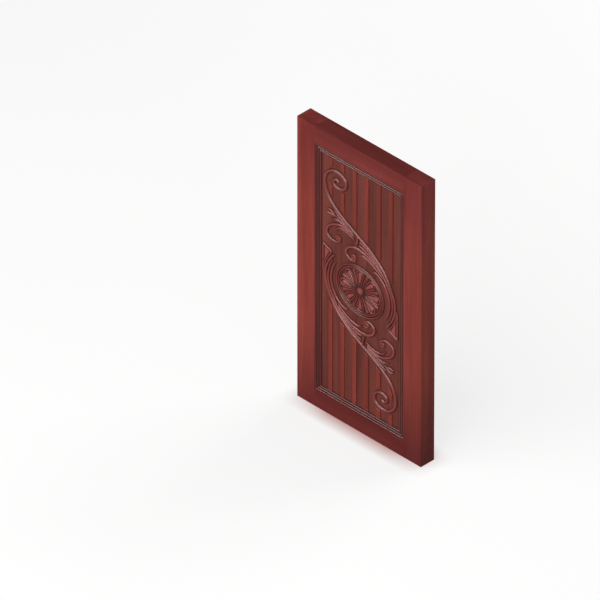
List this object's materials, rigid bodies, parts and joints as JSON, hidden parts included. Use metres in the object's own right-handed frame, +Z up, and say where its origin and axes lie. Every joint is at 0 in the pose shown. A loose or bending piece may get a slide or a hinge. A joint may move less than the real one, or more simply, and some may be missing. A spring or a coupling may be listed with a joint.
{
  "type": "carved door leaf",
  "caption": "Tall carved hardwood door leaf with a sunk boarded panel, vertical strips, a scrolling stem, a petalled oval medallion and mitred mouldings.",
  "frame": {"origin": "middle of the bottom edge, halfway through the thickness", "axes": "+Z up along the leaf's height, +X to the right of a person who looks at the carved front, -Y out of the carved front"},
  "size_m": [1.05, 0.115, 2.05],
  "materials": {
    "frame": "satin",
    "boards": "satin",
    "mouldings": "satin",
    "strips": "satin",
    "carving": "satin"
  },
  "bodies": {
    "root": {"back_moulding_bottom": "mouldings", "back_moulding_left": "mouldings", "back_moulding_right": "mouldings", "back_moulding_top": "mouldings", "board_1": "boards", "board_2": "boards", "board_3": "boards", "board_4": "boards", "board_5": "boards", "board_6": "boards", "board_7": "boards", "bottom_rail": "frame", "front_moulding_bottom": "mouldings", "front_moulding_left": "mouldings", "front_moulding_right": "mouldings", "front_moulding_top": "mouldings", "left_stile": "frame", "lower_collar": "carving", "lower_inner_leaf": "carving", "lower_left_spray": "carving", "lower_right_spray": "carving", "lower_spandrel": "carving", "lower_stem": "carving", "lower_strip_1": "strips", "lower_strip_2": "strips", "lower_strip_3": "strips", "lower_strip_4": "strips", "lower_strip_5": "strips", "lower_strip_6": "strips", "lower_stub_1": "strips", "lower_stub_2": "strips", "medallion": "carving", "right_stile": "frame", "rosette_button": "carving", "top_rail": "frame", "upper_collar": "carving", "upper_inner_leaf": "carving", "upper_left_spray": "carving", "upper_right_spray": "carving", "upper_spandrel": "carving", "upper_stem": "carving", "upper_strip_1": "strips", "upper_strip_2": "strips", "upper_strip_3": "strips", "upper_strip_4": "strips", "upper_strip_5": "strips", "upper_strip_6": "strips", "upper_stub_1": "strips", "upper_stub_2": "strips"}
  },
  "joints": []
}
